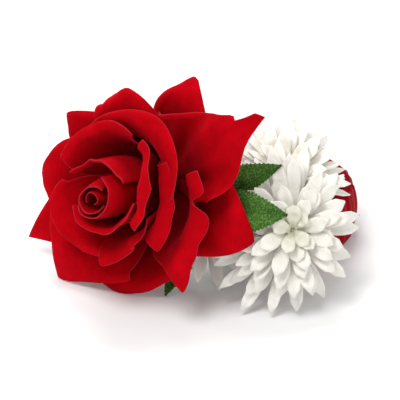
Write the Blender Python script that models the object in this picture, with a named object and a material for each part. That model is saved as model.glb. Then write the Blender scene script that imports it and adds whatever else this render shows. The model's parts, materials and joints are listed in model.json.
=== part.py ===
"""Wrist corsage: a velvet rose, three white mums and three green leaves on a satin-covered elastic band.

Run it with: blender --background --python part.py
Metres, +Z up. The band stands on its lower edge and the flowers lean out from its front left,
so -Y is the side that shows. The origin is the middle of the base of the whole corsage.
"""

import math
from dataclasses import dataclass

import bpy
import numpy as np
from mathutils import Matrix, Vector
from mathutils.bvhtree import BVHTree

MM = 0.001
GAP = 0.35 * MM  # left between pieces that touch

# Band: centred on the design's own axis, its lower edge on the floor
BAND_HEIGHT = 24 * MM
BAND_RADIUS = 32.5 * MM  # outside of the padded satin, at mid height
BAND_CROWN = 2.2 * MM  # how far the padding bulges past the edges
COVER_EDGE = 1.6 * MM
ELASTIC_THICK = 1.0 * MM
LINING_THICK = 0.7 * MM
ELASTIC_INSET = 1.5 * MM  # elastic edge below the satin edge
FLAT_DIRECTION = 233.0  # degrees, where the band runs straight behind the flowers
FLAT_HALF_ANGLE = 22.0
BAND_STEPS = 40

# Plate and pad that the flowers are bound to
PLATE_LENGTH = 34 * MM
PLATE_HEIGHT = 20 * MM
PLATE_THICK = 1.4 * MM
PAD_THICK = 1.6 * MM
BINDING_RADII = (7.0 * MM, 5.0 * MM, 7.5 * MM)
BINDING_HEIGHT = 15.5 * MM

# Rose: depth runs along its own axis from the calyx (0) to the tip of the bud
ROSE_BASE = Vector((-50.3, -25.0, 37.6)) * MM
ROSE_AXIS = Vector((-0.530, -0.762, 0.372))
PETAL_THICK = 0.8 * MM
PINWHEEL_START = 0.2  # share of a petal's length where it starts to lie over its neighbour

# Mums
MUM_REACH = 36 * MM  # from the flower's axis to the tips of its widest layer
MUM_HUB = 3.4 * MM
MUM_LAYER_STEP = 2.3 * MM
MUM_PETAL_THICK = 0.9 * MM
MUM_PETAL_WIDTH = 6.4 * MM
SHORTEST_PETAL = 0.2
GROWTH_STEPS = 9

LEAF_THICK = 0.7 * MM
WIRE_RADIUS = 1.3 * MM
TUBE_SIDES = 8


@dataclass
class Petal:
    """One rose petal: the way it points round the axis, its reach, and how its tip narrows."""

    azimuth: float
    reach: float = 1.0
    tip_drop: float = 0.16
    tip_power: float = 2.0
    width: float = 1.0


@dataclass
class Whorl:
    """Petals set round the rose at one depth.

    Profile points are (radius, depth) in millimetres. The pinwheel is how far one side of each
    petal stands out over its neighbour and the other side in under it.
    """

    petals: tuple
    profile: tuple
    half_width: float
    pinwheel: float = 1.5
    fullest: float = 0.62


ROSE_WHORLS = {
    "bud_a": Whorl((Petal(70, 1, 0.05),), ((4.3, 21), (5.4, 30), (4.9, 46), (2.6, 55)), 11.0, 0.6),
    "bud_b": Whorl((Petal(200, 1, 0.06),), ((4.6, 17), (8.6, 26), (8.0, 44), (5.3, 57)), 15.0, 0.6),
    "bud_c": Whorl((Petal(330, 1, 0.07),), ((4.8, 14), (11.6, 23), (11, 44), (8.2, 56)), 17.0, 0.6),
    "inner": Whorl(
        (Petal(100, 1, 0.12), Petal(2, 1.05, 0.2, 1.4), Petal(266, 1, 0.12)),
        ((4.9, 10.8), (17, 19), (13, 46), (15, 52)),
        15.5,
    ),
    "middle": Whorl(
        (Petal(45), Petal(115), Petal(220), Petal(308), Petal(0)),
        ((5, 7.8), (23, 13), (20, 44), (31, 41)),
        18.0,
        1.8,
    ),
    "outer": Whorl(
        (
            Petal(42, 1.44, 0.44, 1.2),
            Petal(115, 0.91, 0.26, 2.0),
            Petal(178, 1.05, 0.30, 1.7),
            Petal(240, 1.12, 0.32, 1.4),
            Petal(332, 1.10, 0.30, 1.5, 1.05),
        ),
        ((5.4, 4.9), (30, 9.4), (33, 38), (46, 21)),
        23.0,
        1.7,
    ),
    "back": Whorl(
        (
            Petal(82, 1.08, 0.50, 1.1),
            Petal(156, 1.03, 0.48, 1.1),
            Petal(216, 1.28, 0.50, 1.0),
            Petal(271, 0.96, 0.34, 1.4),
            Petal(349, 1.20, 0.45, 1.1),
        ),
        ((5.8, 2.0), (30, 4), (38, 29), (48, 15)),
        21.0,
        1.7,
    ),
}


@dataclass
class Mum:
    """One white flower: where its middle is, the way it faces, and how it is turned about that.

    Its petals are shorter on one side, given as an angle round the flower from its right.
    """

    centre: Vector
    axis: Vector
    turn: float
    short_side: float = 0.0
    shorter: float = 0.0
    layers: int = 5


MUMS = {
    "mum_front": Mum(Vector((2.5, -53.5, 31.4)) * MM, Vector((0.09, -0.86, 0.50)), 4, -15, 0.2),
    "mum_top": Mum(Vector((0.0, -30.0, 40.5)) * MM, Vector((0.15, -0.35, 0.92)), 17),
    "mum_behind": Mum(
        Vector((-32.5, -29.5, 32.5)) * MM, Vector((-0.05, -0.80, 0.60)), 9, layers=4
    ),
}
# Layers from the skirt up to the heart: petals, share of full reach, angle from the axis
MUM_LAYERS = ((15, 1.0, 99), (14, 0.95, 87), (12, 0.80, 77), (9, 0.58, 69), (6, 0.42, 60))


@dataclass
class Leaf:
    """A rose leaf, from where its stalk joins to its tip, bulging and facing one way."""

    base: Vector
    tip: Vector
    facing: Vector
    half_width: float
    bulge: float
    stalk_bend: Vector


LEAVES = {
    "leaf_upper": Leaf(
        Vector((-29.5, -47.0, 42.0)) * MM,
        Vector((-1.5, -50.0, 60.0)) * MM,
        Vector((0.15, -0.86, 0.45)),
        8.5 * MM,
        2.5 * MM,
        Vector((-28.0, -44.0, 34.0)) * MM,
    ),
    "leaf_lower": Leaf(
        Vector((-30.5, -49.5, 38.0)) * MM,
        Vector((0.6, -68.0, 46.8)) * MM,
        Vector((-0.35, -0.76, 0.55)),
        9.5 * MM,
        3.0 * MM,
        Vector((-23.0, -44.0, 28.0)) * MM,
    ),
    "leaf_under": Leaf(
        Vector((-35.0, -38.0, 11.0)) * MM,
        Vector((-49.0, -59.0, 1.5)) * MM,
        Vector((-0.30, -0.50, 0.80)),
        7.0 * MM,
        1.0 * MM,
        Vector((-31.0, -34.0, 13.0)) * MM,
    ),
}

BUILT = {}  # name of each finished piece to its surface, for pieces that grow round it


def clear_scene():
    for obj in list(bpy.data.objects):
        bpy.data.objects.remove(obj, do_unlink=True)


def material(name, colour, roughness, sheen=0.0):
    """A plain finish for one kind of piece."""
    made = bpy.data.materials.get(name)
    if made is None:
        made = bpy.data.materials.new(name)
        made.use_nodes = True
        shader = made.node_tree.nodes["Principled BSDF"]
        shader.inputs["Base Color"].default_value = (*colour, 1.0)
        shader.inputs["Roughness"].default_value = roughness
        shader.inputs["Metallic"].default_value = 0.0
        shader.inputs["Sheen Weight"].default_value = sheen
        made.diffuse_color = (*colour, 1.0)
    return made


def rose_velvet():
    return material("rose_velvet", (0.52, 0.005, 0.012), 0.85, 0.6)


def mum_cloth():
    return material("mum_cloth", (0.87, 0.86, 0.80), 0.75)


def leaf_cloth():
    return material("leaf_cloth", (0.07, 0.19, 0.035), 0.7)


def satin():
    return material("band_satin", (0.30, 0.006, 0.015), 0.35, 0.3)


def elastic_cloth():
    return material("elastic", (0.80, 0.78, 0.74), 0.8)


def clear_plastic():
    return material("plate_plastic", (0.75, 0.76, 0.75), 0.3)


def green_plastic():
    return material("calyx_plastic", (0.09, 0.22, 0.05), 0.5)


def floral_tape():
    return material("floral_tape", (0.08, 0.17, 0.05), 0.8)


def felt():
    return material("felt", (0.08, 0.17, 0.05), 0.95)


def foam():
    return material("core_foam", (0.45, 0.02, 0.03), 0.9)


def add_piece(name, points, faces, finish, smooth=True):
    """One named object from points and faces, remembered so that later pieces keep clear of it."""
    mesh = bpy.data.meshes.new(name)
    mesh.from_pydata([tuple(p) for p in points], [], [tuple(f) for f in faces])
    mesh.materials.append(finish)
    mesh.update()
    if smooth:
        mesh.shade_smooth()
        mesh.set_sharp_from_angle(angle=math.radians(40))
    obj = bpy.data.objects.new(name, mesh)
    bpy.context.scene.collection.objects.link(obj)
    BUILT[name] = BVHTree.FromPolygons([Vector(p) for p in points], faces)
    return obj


def placed(points, matrix):
    return [matrix @ Vector(p) for p in points]


def flower_frame(centre, axis):
    """A flower's own frame: z along its axis, y as near to upright as it can be."""
    z = Vector(axis).normalized()
    y = (Vector((0, 0, 1)) - z * z.z).normalized()
    x = y.cross(z)
    frame = Matrix((x, y, z)).transposed().to_4x4()
    frame.translation = centre
    return frame


def bezier(knots, t):
    """Point at t on a cubic curve through four knots."""
    a, b, c, d = (np.array(k, float) for k in knots)
    s = 1 - t
    return s**3 * a + 3 * s * s * t * b + 3 * s * t * t * c + t**3 * d


def thick_sheet(grid, thickness):
    """Closed skin round a curved sheet, given as rows of points on its middle surface."""
    grid = np.array(grid, float)
    rows, columns = grid.shape[:2]
    along = np.gradient(grid, axis=0)
    across = np.gradient(grid, axis=1)
    normal = np.cross(across, along)
    normal /= np.linalg.norm(normal, axis=2, keepdims=True)
    upper = (grid + normal * thickness / 2).reshape(-1, 3)
    lower = (grid - normal * thickness / 2).reshape(-1, 3)
    points = np.concatenate([upper, lower])
    below = rows * columns
    faces = []
    for i in range(rows - 1):
        for j in range(columns - 1):
            a = i * columns + j
            b, c, d = a + 1, a + columns + 1, a + columns
            faces.append((a, b, c, d))
            faces.append((below + d, below + c, below + b, below + a))
    rim = [j for j in range(columns)]
    rim += [i * columns + columns - 1 for i in range(1, rows)]
    rim += [(rows - 1) * columns + j for j in range(columns - 2, -1, -1)]
    rim += [i * columns for i in range(rows - 2, 0, -1)]
    for a, b in zip(rim, rim[1:] + rim[:1]):
        faces.append((a, below + a, below + b, b))
    return points, faces


def tube(path, radii, sides=TUBE_SIDES):
    """Closed round bar along a path, with a radius at each point."""
    path = [Vector(p) for p in path]
    points, faces = [], []
    side = None
    for i, point in enumerate(path):
        before, after = path[max(i - 1, 0)], path[min(i + 1, len(path) - 1)]
        run = (after - before).normalized()
        guide = side if side is not None else run.orthogonal()
        side = (guide - run * guide.dot(run)).normalized()
        other = run.cross(side)
        for k in range(sides):
            turn = 2 * math.pi * k / sides
            points.append(point + (side * math.cos(turn) + other * math.sin(turn)) * radii[i])
    for i in range(len(path) - 1):
        for k in range(sides):
            a, b = i * sides + k, i * sides + (k + 1) % sides
            faces.append((a, b, b + sides, a + sides))
    faces.append(tuple(range(sides - 1, -1, -1)))
    faces.append(tuple(range(len(points) - sides, len(points))))
    return points, faces


def turned(profile, segments=16):
    """Closed solid of revolution about z from (radius, height) points that end on the axis."""
    points = [Vector((0, 0, profile[0][1]))]
    rings = profile[1:-1]
    for radius, height in rings:
        for k in range(segments):
            turn = 2 * math.pi * k / segments
            points.append(Vector((radius * math.cos(turn), radius * math.sin(turn), height)))
    points.append(Vector((0, 0, profile[-1][1])))
    last = len(points) - 1
    faces = []
    for k in range(segments):
        after = (k + 1) % segments
        faces.append((0, 1 + after, 1 + k))
        top = 1 + (len(rings) - 1) * segments
        faces.append((top + k, top + after, last))
        for i in range(len(rings) - 1):
            a, b = 1 + i * segments + k, 1 + i * segments + after
            faces.append((a, b, b + segments, a + segments))
    return points, faces


def ellipsoid(radii, rings=7, segments=12):
    """Closed egg shape about the origin."""
    a, b, c = radii
    profile = [
        (math.sin(math.pi * i / rings), -math.cos(math.pi * i / rings)) for i in range(rings + 1)
    ]
    points, faces = turned(profile, segments)
    return [Vector((p.x * a, p.y * b, p.z * c)) for p in points], faces


def band_angles():
    """Angles round the band, with nothing between the two ends of its straight front."""
    first = math.radians(FLAT_DIRECTION + FLAT_HALF_ANGLE)
    sweep = 2 * math.pi - 2 * math.radians(FLAT_HALF_ANGLE)
    return [first + sweep * i / BAND_STEPS for i in range(BAND_STEPS + 1)]


def band_point(angle, offset, height):
    """Point on the band, offset outwards from the inside of the elastic."""
    radius = BAND_RADIUS - BAND_CROWN - COVER_EDGE - GAP - ELASTIC_THICK + offset
    at_flat = radius * math.cos(math.radians(FLAT_HALF_ANGLE))
    from_flat = math.cos(angle - math.radians(FLAT_DIRECTION))
    reach = min(radius, at_flat / from_flat) if from_flat > 0 else radius
    return Vector((reach * math.cos(angle), reach * math.sin(angle), height))


def band_ring(section):
    """Closed ring with the given section of (offset, height) points."""
    angles = band_angles()
    count = len(section)
    points = [band_point(angle, *corner) for angle in angles for corner in section]
    faces = []
    for i in range(len(angles)):
        after = (i + 1) % len(angles)
        for k in range(count):
            a, b = i * count + k, i * count + (k + 1) % count
            c, d = after * count + (k + 1) % count, after * count + k
            faces.append((a, d, c, b))
    return points, faces


def build_band():
    inside = ELASTIC_THICK + GAP
    crown = [
        (inside + COVER_EDGE + BAND_CROWN * math.sin(math.pi * i / 6) ** 0.8, BAND_HEIGHT * i / 6)
        for i in range(7)
    ]
    cover = [(inside, 0.0), *crown, (inside, BAND_HEIGHT)]
    low, high = ELASTIC_INSET, BAND_HEIGHT - ELASTIC_INSET
    elastic = [(0.0, low), (ELASTIC_THICK, low), (ELASTIC_THICK, high), (0.0, high)]
    inner, outer = -GAP - LINING_THICK, -GAP
    lining = [(inner, 0.0), (outer, 0.0), (outer, BAND_HEIGHT), (inner, BAND_HEIGHT)]
    for name, section, finish in (
        ("band_cover", cover, satin()),
        ("band_elastic", elastic, elastic_cloth()),
        ("band_lining", lining, satin()),
    ):
        points, faces = band_ring(section)
        add_piece(name, points, faces, finish)


def flat_frame(beyond):
    """Frame on the band's straight front: z points outwards, y upwards, the origin beyond it."""
    angle = math.radians(FLAT_DIRECTION)
    outwards = Vector((math.cos(angle), math.sin(angle), 0))
    reach = BAND_RADIUS * math.cos(math.radians(FLAT_HALF_ANGLE)) + beyond
    frame = Matrix((Vector((0, 0, 1)).cross(outwards), Vector((0, 0, 1)), outwards))
    frame = frame.transposed().to_4x4()
    frame.translation = outwards * reach + Vector((0, 0, BAND_HEIGHT / 2))
    return frame


def oval_slab(length, height, thickness, steps=20):
    """Flat oval plate lying in x and y, its thickness along z."""
    rim = [2 * math.pi * i / steps for i in range(steps)]
    outline = [(length / 2 * math.cos(a), height / 2 * math.sin(a)) for a in rim]
    points = [Vector((x, y, 0)) for x, y in outline]
    points += [Vector((x, y, thickness)) for x, y in outline]
    faces = [tuple(range(steps - 1, -1, -1)), tuple(range(steps, 2 * steps))]
    for a in range(steps):
        b = (a + 1) % steps
        faces.append((a, b, b + steps, a + steps))
    return points, faces


def build_mounting():
    """The plate on the band, the felt pad on it, and the taped knot that holds every stem."""
    outside = GAP
    points, faces = oval_slab(PLATE_LENGTH, PLATE_HEIGHT, PLATE_THICK)
    add_piece("wrist_plate", placed(points, flat_frame(outside)), faces, clear_plastic())
    outside += PLATE_THICK + GAP
    points, faces = oval_slab(PLATE_LENGTH * 0.9, PLATE_HEIGHT * 0.9, PAD_THICK)
    add_piece("felt_pad", placed(points, flat_frame(outside)), faces, felt())
    outside += PAD_THICK + GAP + BINDING_RADII[1]
    centre = flat_frame(outside).translation
    centre.z = BINDING_HEIGHT
    turn = Matrix.Rotation(math.radians(FLAT_DIRECTION - 270), 4, "Z")
    points, faces = ellipsoid(BINDING_RADII)
    points = placed(points, Matrix.Translation(centre) @ turn)
    add_piece("stem_binding", points, faces, floral_tape())
    return centre


def petal_grid(whorl, petal, rows=8, columns=9):
    """Middle surface of one rose petal, in the rose's own frame."""
    grid = []
    for i in range(rows):
        row = []
        for j in range(columns):
            across = 2 * j / (columns - 1) - 1
            t = i / (rows - 1) * (1 - petal.tip_drop * abs(across) ** petal.tip_power)
            radius, depth = bezier(whorl.profile, t)
            spread = math.sin(math.pi * min(t / whorl.fullest, 1.0) / 2) ** 1.4
            half = 1.3 + (whorl.half_width * petal.width - 1.3) * spread
            angle = math.radians(petal.azimuth) + across * half / max(radius, 4.2)
            run = bezier(whorl.profile, t + 0.01) - bezier(whorl.profile, t - 0.01)
            run /= np.linalg.norm(run)
            lift = whorl.pinwheel * across * min(t / PINWHEEL_START, 1.0)
            radius, depth = radius + lift * run[1], depth - lift * run[0]
            radius *= 1 + (petal.reach - 1) * t * t * (1 - 0.6 * abs(across))
            row.append((radius * MM * math.cos(angle), radius * MM * math.sin(angle), depth * MM))
        grid.append(row)
    return grid


def build_rose():
    frame = flower_frame(ROSE_BASE, ROSE_AXIS)
    points, faces = ellipsoid((3.4 * MM, 3.4 * MM, 23 * MM), 8, 10)
    middle = frame @ Matrix.Translation((0, 0, 26 * MM))
    add_piece("rose_core", placed(points, middle), faces, foam())
    for name, whorl in ROSE_WHORLS.items():
        for number, petal in enumerate(whorl.petals, 1):
            points, faces = thick_sheet(petal_grid(whorl, petal), PETAL_THICK)
            label = f"rose_{name}" if len(whorl.petals) == 1 else f"rose_{name}_{number}"
            add_piece(label, placed(points, frame), faces, rose_velvet())


def rays(count, hub, thick, level, ray, turn=0.0):
    """A hub with rays drawn out of its rim as one closed body.

    ray(number) gives each ray's cross sections as (radius, height, width, thickness, tilt).
    """
    points, faces = [], []
    step = 2 * math.pi / count
    half = step * 0.30
    for number in range(count):
        middle = turn + number * step
        for angle in (middle - half, middle + half):
            x, y = hub * math.cos(angle), hub * math.sin(angle)
            points += [Vector((x, y, level - thick / 2)), Vector((x, y, level + thick / 2))]
    rim = len(points)
    faces.append(tuple(range(rim - 2, -1, -2)))
    faces.append(tuple(range(1, rim, 2)))
    for number in range(count):
        a = number * 4
        after = (a + 4) % rim
        faces.append((a + 2, after, after + 1, a + 3))
        middle = turn + number * step
        outwards = Vector((math.cos(middle), math.sin(middle), 0))
        sideways = Vector((-math.sin(middle), math.cos(middle), 0))
        before = (a, a + 2, a + 3, a + 1)
        for radius, height, width, thickness, tilt in ray(number):
            centre = outwards * radius + Vector((0, 0, height))
            up = Vector((0, 0, 1)) * math.cos(tilt) - outwards * math.sin(tilt)
            first = len(points)
            points.append(centre - sideways * width / 2 - up * thickness / 2)
            points.append(centre + sideways * width / 2 - up * thickness / 2)
            points.append(centre + sideways * width / 2 + up * thickness / 2)
            points.append(centre - sideways * width / 2 + up * thickness / 2)
            now = (first, first + 1, first + 2, first + 3)
            for k in range(4):
                after_k = (k + 1) % 4
                faces.append((before[k], before[after_k], now[after_k], now[k]))
            before = now
        faces.append(before)
    return points, faces


def ray_sections(length, hub, level, angle, width, thickness, count):
    """Sections of one straight petal that leaves the hub at an angle from the axis."""
    tilt = math.pi / 2 - angle
    sections = []
    for share, fullness in ((0.22, 0.45), (0.5, 0.95), (0.75, 0.9), (1.0, 0.22)):
        radius = hub + share * length * math.sin(angle)
        height = level + share * length * math.cos(angle)
        room = 0.84 * 2 * math.pi * radius / count
        sections.append((radius, height, min(width * fullness, room), thickness, tilt))
    return sections


def meets(points, faces, obstacles):
    grown = BVHTree.FromPolygons([Vector(p) for p in points], faces)
    return any(grown.overlap(tree) for tree in obstacles)


def clear_share(frame, count, number, hub, level, angle, full, turn, share, obstacles):
    """Share of its full length that a petal can have before it meets a neighbour or the floor."""
    for _ in range(GROWTH_STEPS):
        sections = ray_sections(
            full * share, hub, level, angle, MUM_PETAL_WIDTH * 1.12, MUM_PETAL_THICK * 1.9, count
        )
        points, faces = rays(
            count, hub, MUM_PETAL_THICK, level, lambda n: sections if n == number else [], turn
        )
        ray_points = placed(points, frame)
        lowest = min(p.z for p in placed(points[4 * count :], frame))
        if lowest > 0 and not meets(ray_points, faces, obstacles):
            return share
        share = max(share - (1 - SHORTEST_PETAL) / GROWTH_STEPS, SHORTEST_PETAL)
    return SHORTEST_PETAL


def mum_layers(mum):
    """Each layer's number, petal count, height, angle, full petal length and turn."""
    for layer, (count, reach, degrees) in enumerate(MUM_LAYERS[: mum.layers]):
        level = (layer - 1) * MUM_LAYER_STEP
        full = MUM_REACH * reach - MUM_HUB
        turn = math.radians(mum.turn + layer * 11)
        yield layer, count, level, math.radians(degrees), full, turn


def mum_heart(mum, share=SHORTEST_PETAL):
    """Surfaces of a mum with its petals at their shortest: the room that every mum keeps."""
    frame = flower_frame(mum.centre, mum.axis)
    for _, count, level, angle, full, turn in mum_layers(mum):
        sections = ray_sections(
            full * share, MUM_HUB, level, angle, MUM_PETAL_WIDTH, MUM_PETAL_THICK * 2, count
        )
        points, faces = rays(
            count, MUM_HUB, MUM_PETAL_THICK * 2, level, lambda n: sections, turn
        )
        yield BVHTree.FromPolygons(placed(points, frame), faces)


def build_mum(name, mum, obstacles):
    frame = flower_frame(mum.centre, mum.axis)
    for layer, count, level, angle, full, turn in mum_layers(mum):
        shares = []
        for n in range(count):
            side = turn + 2 * math.pi * n / count - math.radians(mum.short_side)
            want = 1 - mum.shorter * (1 + math.cos(side)) / 2
            shares.append(
                clear_share(frame, count, n, MUM_HUB, level, angle, full, turn, want, obstacles)
            )
        lengths = [
            ray_sections(
                full * share, MUM_HUB, level, angle, MUM_PETAL_WIDTH, MUM_PETAL_THICK, count
            )
            for share in shares
        ]
        points, faces = rays(count, MUM_HUB, MUM_PETAL_THICK, level, lengths.__getitem__, turn)
        add_piece(f"{name}_petals_{layer + 1}", placed(points, frame), faces, mum_cloth())
    if mum.layers == len(MUM_LAYERS):
        top = (mum.layers - 2) * MUM_LAYER_STEP + MUM_PETAL_THICK / 2 + GAP
        profile = [(0, top), (2.0 * MM, top), (1.6 * MM, top + 1.4 * MM), (0, top + 2.0 * MM)]
        points, faces = turned(profile, 8)
        add_piece(f"{name}_heart", placed(points, frame), faces, green_plastic())


def build_calyx(name, frame, radius, depth, count, sepal_length, level, angle, turn=0.0):
    """Green cup behind a flower, with its sepals drawn out of the rim."""
    points, faces = rays(
        count,
        radius,
        depth,
        level - depth / 2,
        lambda n: ray_sections(sepal_length, radius, level - 0.4 * MM, angle, 5 * MM, 0.7 * MM, count),
        turn,
    )
    return add_piece(name, placed(points, frame), faces, green_plastic())


def curved_path(start, bend, end, steps=6):
    """Points along a smooth arc from start to end, pulled towards bend."""
    points = []
    for i in range(steps + 1):
        t = i / steps
        points.append(start * (1 - t) ** 2 + bend * 2 * t * (1 - t) + end * t * t)
    return points


def trimmed_end(bend, centre):
    """Where a stem that heads for the knot from its bend meets the knot's skin."""
    tree = BUILT["stem_binding"]
    hit, _, _, _ = tree.ray_cast(bend, (centre - bend).normalized())
    return hit + (bend - hit).normalized() * GAP * 1.6


def build_stem(name, frame, depth, bend, knot, radius=WIRE_RADIUS):
    """Wrapped wire from the back of a flower to the knot."""
    start = frame @ Vector((0, 0, depth))
    out = frame.to_3x3() @ Vector((0, 0, -1))
    end = trimmed_end(bend, knot)
    path = [start, start + out * 2 * MM]
    path += curved_path(start + out * 4 * MM, bend, end)
    points, faces = tube(path, [radius] * len(path))
    add_piece(name, points, faces, floral_tape())


def leaf_grid(leaf, rows=9, columns=5):
    """Middle surface of a leaf, folded a little along its midrib."""
    run = leaf.tip - leaf.base
    along = run.normalized()
    facing = (leaf.facing - along * leaf.facing.dot(along)).normalized()
    across = along.cross(facing)
    grid = []
    for i in range(rows):
        t = i / (rows - 1)
        width = leaf.half_width * max(math.sin(math.pi * t**0.72) ** 0.85, 0.07)
        row = []
        for j in range(columns):
            u = 2 * j / (columns - 1) - 1
            lift = leaf.bulge * math.sin(math.pi * t) + 0.22 * width * abs(u)
            row.append(leaf.base + run * t + across * width * u + facing * lift)
        grid.append(row)
    return grid


def build_leaves(knot):
    for name, leaf in LEAVES.items():
        points, faces = thick_sheet(leaf_grid(leaf), LEAF_THICK)
        add_piece(name, points, faces, leaf_cloth())
        start = leaf.base - (leaf.tip - leaf.base).normalized() * 1.2 * MM
        path = curved_path(start, leaf.stalk_bend, trimmed_end(leaf.stalk_bend, knot), 5)
        points, faces = tube(path, [0.7 * MM] * len(path), 6)
        add_piece(f"{name}_stalk", points, faces, floral_tape())


def stand_on_origin():
    """Moves the whole corsage so that the middle of its base is the origin."""
    corners = [v.co for obj in bpy.data.objects if obj.type == "MESH" for v in obj.data.vertices]
    low = Vector([min(c[k] for c in corners) for k in range(3)])
    high = Vector([max(c[k] for c in corners) for k in range(3)])
    whole = bpy.data.objects.new("corsage", None)
    bpy.context.scene.collection.objects.link(whole)
    whole.location = (-(low.x + high.x) / 2, -(low.y + high.y) / 2, -low.z)
    for obj in bpy.data.objects:
        if obj.type == "MESH":
            obj.parent = whole
    print("moved by", [round(c * 1000, 3) for c in whole.location], "mm")


def main():
    clear_scene()
    build_band()
    knot = build_mounting()
    build_rose()
    rose = flower_frame(ROSE_BASE, ROSE_AXIS)
    build_calyx(
        "rose_calyx", rose, 4.6 * MM, 5 * MM, 5, 8 * MM, 0.6 * MM, math.radians(94), math.pi / 5
    )
    build_stem("rose_stem", rose, -5.0 * MM, Vector((-44, -22, 18)) * MM, knot, 1.6 * MM)
    bends = {
        "mum_front": Vector((-8, -42, 14)) * MM,
        "mum_top": Vector((-9, -37, 22)) * MM,
        "mum_behind": Vector((-31.5, -21.5, 21)) * MM,
    }
    for name, mum in MUMS.items():
        frame = flower_frame(mum.centre, mum.axis)
        level = -MUM_LAYER_STEP - MUM_PETAL_THICK / 2 - GAP
        angle = math.radians(106)
        build_calyx(f"{name}_calyx", frame, 3.2 * MM, 3 * MM, 5, 4 * MM, level, angle)
        build_stem(f"{name}_stem", frame, level - 3.4 * MM, bends[name], knot)
    build_leaves(knot)
    for name, mum in MUMS.items():
        obstacles = [tree for key, tree in BUILT.items() if not key.startswith(name)]
        for other, its_mum in MUMS.items():
            if other != name:
                obstacles += mum_heart(its_mum)
        build_mum(name, mum, obstacles)
    stand_on_origin()


main()
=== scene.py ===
"""Looks for a wrist corsage: a velvet rose, white mums and serrated leaves on a satin band.

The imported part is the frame. Every piece is built in the part's own coordinates, in metres. The
flowers repeat the part's layout in millimetres from the middle of the band, which is read from
the frame.
"""

import json
import math
from dataclasses import dataclass

import bmesh
import bpy
import numpy as np
from mathutils import Matrix, Vector
from mathutils.bvhtree import BVHTree

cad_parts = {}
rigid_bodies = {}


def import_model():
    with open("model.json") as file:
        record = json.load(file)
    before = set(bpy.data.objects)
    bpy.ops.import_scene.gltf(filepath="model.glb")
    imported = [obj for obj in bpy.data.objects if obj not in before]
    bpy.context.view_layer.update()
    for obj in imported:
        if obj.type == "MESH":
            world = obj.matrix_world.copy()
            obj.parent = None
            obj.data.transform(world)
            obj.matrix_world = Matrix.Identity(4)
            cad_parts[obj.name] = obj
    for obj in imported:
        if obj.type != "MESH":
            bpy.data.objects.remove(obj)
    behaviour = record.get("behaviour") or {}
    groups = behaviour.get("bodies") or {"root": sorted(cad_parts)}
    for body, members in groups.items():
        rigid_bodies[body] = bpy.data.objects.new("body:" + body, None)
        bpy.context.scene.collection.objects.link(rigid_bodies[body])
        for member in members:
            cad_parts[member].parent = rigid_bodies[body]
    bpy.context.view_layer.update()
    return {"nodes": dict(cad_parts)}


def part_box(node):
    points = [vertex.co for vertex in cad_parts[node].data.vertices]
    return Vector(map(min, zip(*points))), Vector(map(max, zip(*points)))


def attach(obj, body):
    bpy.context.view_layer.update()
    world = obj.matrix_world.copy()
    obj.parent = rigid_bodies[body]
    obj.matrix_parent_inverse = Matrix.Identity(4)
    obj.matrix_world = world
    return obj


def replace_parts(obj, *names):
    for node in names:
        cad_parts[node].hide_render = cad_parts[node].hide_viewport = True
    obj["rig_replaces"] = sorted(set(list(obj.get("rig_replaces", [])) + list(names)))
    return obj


bl_info = {
    "name": "Wrist Corsage",
    "version": (1, 0, 0),
    "blender": (4, 5, 0),
    "location": "3D View > Sidebar > Corsage",
    "description": "Builds a velvet rose wrist corsage around its packed frame",
    "category": "Add Mesh",
}

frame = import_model()

MM = 0.001
BAND_MIDDLE = sum(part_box("band_cover"), Vector()) / 2
BAND_MIDDLE.z = 0.0


def placed(point):
    """A point of the layout, in millimetres from the middle of the band, in the frame's metres."""
    return Vector(point) * MM + BAND_MIDDLE


# ---------------------------------------------------------------- shader maths


class Value:
    """A socket's output that takes part in plain arithmetic. Each operation adds one Math node."""

    def __init__(self, paint, output):
        self.paint = paint
        self.output = output

    def math(self, operation, *others, after=()):
        """This value put through a Math node, with what comes after it or before it."""
        values = dict(enumerate((*after, self, *others)))
        return self.paint.node("ShaderNodeMath", {"operation": operation}, values)

    def __add__(self, other):
        return self.math("ADD", other)

    def __sub__(self, other):
        return self.math("SUBTRACT", other)

    def __rsub__(self, other):
        return self.math("SUBTRACT", after=(other,))

    def __mul__(self, other):
        return self.math("MULTIPLY", other)

    def __pow__(self, other):
        return self.math("POWER", other)

    __radd__ = __add__
    __rmul__ = __mul__

    def ramp(self, low, high):
        """0 below low, 1 above high and smooth between them."""
        settings = {"interpolation_type": "SMOOTHSTEP"}
        return self.paint.node("ShaderNodeMapRange", settings, {0: self, 1: low, 2: high})


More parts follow.
